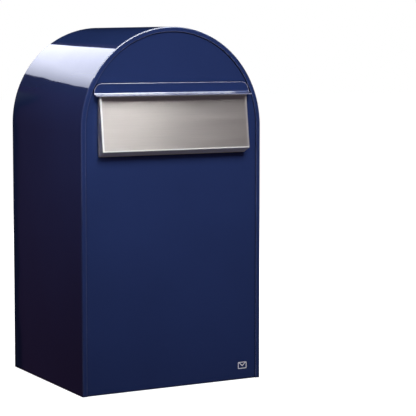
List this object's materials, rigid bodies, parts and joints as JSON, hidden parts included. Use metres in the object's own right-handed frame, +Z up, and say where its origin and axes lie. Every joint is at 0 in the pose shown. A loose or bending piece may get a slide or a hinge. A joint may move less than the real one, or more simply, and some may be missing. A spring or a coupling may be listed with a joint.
{
  "type": "mailbox",
  "caption": "Round-topped free-standing mailbox of folded steel sheet, with a hooded letter flap in front and a bottom-hinged locking door behind.",
  "frame": {"origin": "centre of the floor's four-hole bolt pattern, on the underside of the floor", "axes": "+Z up, the front with the letter flap faces -Y, +X to the right seen from the front"},
  "size_m": [0.4, 0.3711, 0.7199],
  "materials": {
    "blue_powder_coat": "deep navy blue gloss powder coat on steel sheet",
    "brushed_stainless": "stainless sheet, brushed horizontally",
    "stainless_hardware": "plain drawn stainless steel",
    "galvanised_sheet": "galvanised steel sheet, dull",
    "zinc_fastener": "bright zinc plating",
    "chromed_lock": "polished chrome",
    "black_rubber": "matt black rubber",
    "white_film": "thin white vinyl film"
  },
  "bodies": {
    "body": {"body_shell": "blue_powder_coat", "bracket_nuts": "zinc_fastener", "door_buffers": "black_rubber", "envelope_emblem": "white_film", "flap_bracket_left": "galvanised_sheet", "flap_bracket_right": "galvanised_sheet", "flap_buffers": "black_rubber", "flap_hinge_rod": "stainless_hardware", "flap_rod_clips": "zinc_fastener", "floor_leaf_rivets": "zinc_fastener", "floor_pan": "galvanised_sheet", "front_panel": "blue_powder_coat", "guard_nuts": "zinc_fastener", "hinge_floor_leaf": "blue_powder_coat", "hinge_pin": "stainless_hardware", "hood": "blue_powder_coat", "inlet_guard": "galvanised_sheet", "inlet_ramp": "galvanised_sheet", "ramp_nuts": "zinc_fastener", "rear_panel": "blue_powder_coat"},
    "flap": {"flap": "brushed_stainless", "flap_knuckles": "stainless_hardware"},
    "door": {"door": "blue_powder_coat", "hinge_door_leaf": "blue_powder_coat", "door_leaf_rivets": "zinc_fastener", "lock_rosette": "chromed_lock", "lock_housing": "chromed_lock", "lock_washer": "zinc_fastener", "lock_nut": "zinc_fastener"},
    "lock_core": {"lock_plug": "chromed_lock", "lock_cam": "zinc_fastener", "cam_screw": "zinc_fastener"}
  },
  "joints": [
    {"name": "flap_hinge", "type": "hinge", "parent": "body", "child": "flap", "pos_m": [0, -0.1774, 0.58], "axis": [-1, 0, 0], "range_deg": [0, 60]},
    {"name": "door_hinge", "type": "hinge", "parent": "body", "child": "door", "pos_m": [0, 0.1716, 0.0045], "axis": [-1, 0, 0], "range_deg": [0, 88]},
    {"name": "lock_turn", "type": "hinge", "parent": "door", "child": "lock_core", "pos_m": [0, 0.17, 0.3945], "axis": [0, 1, 0], "range_deg": [0, 90]}
  ]
}
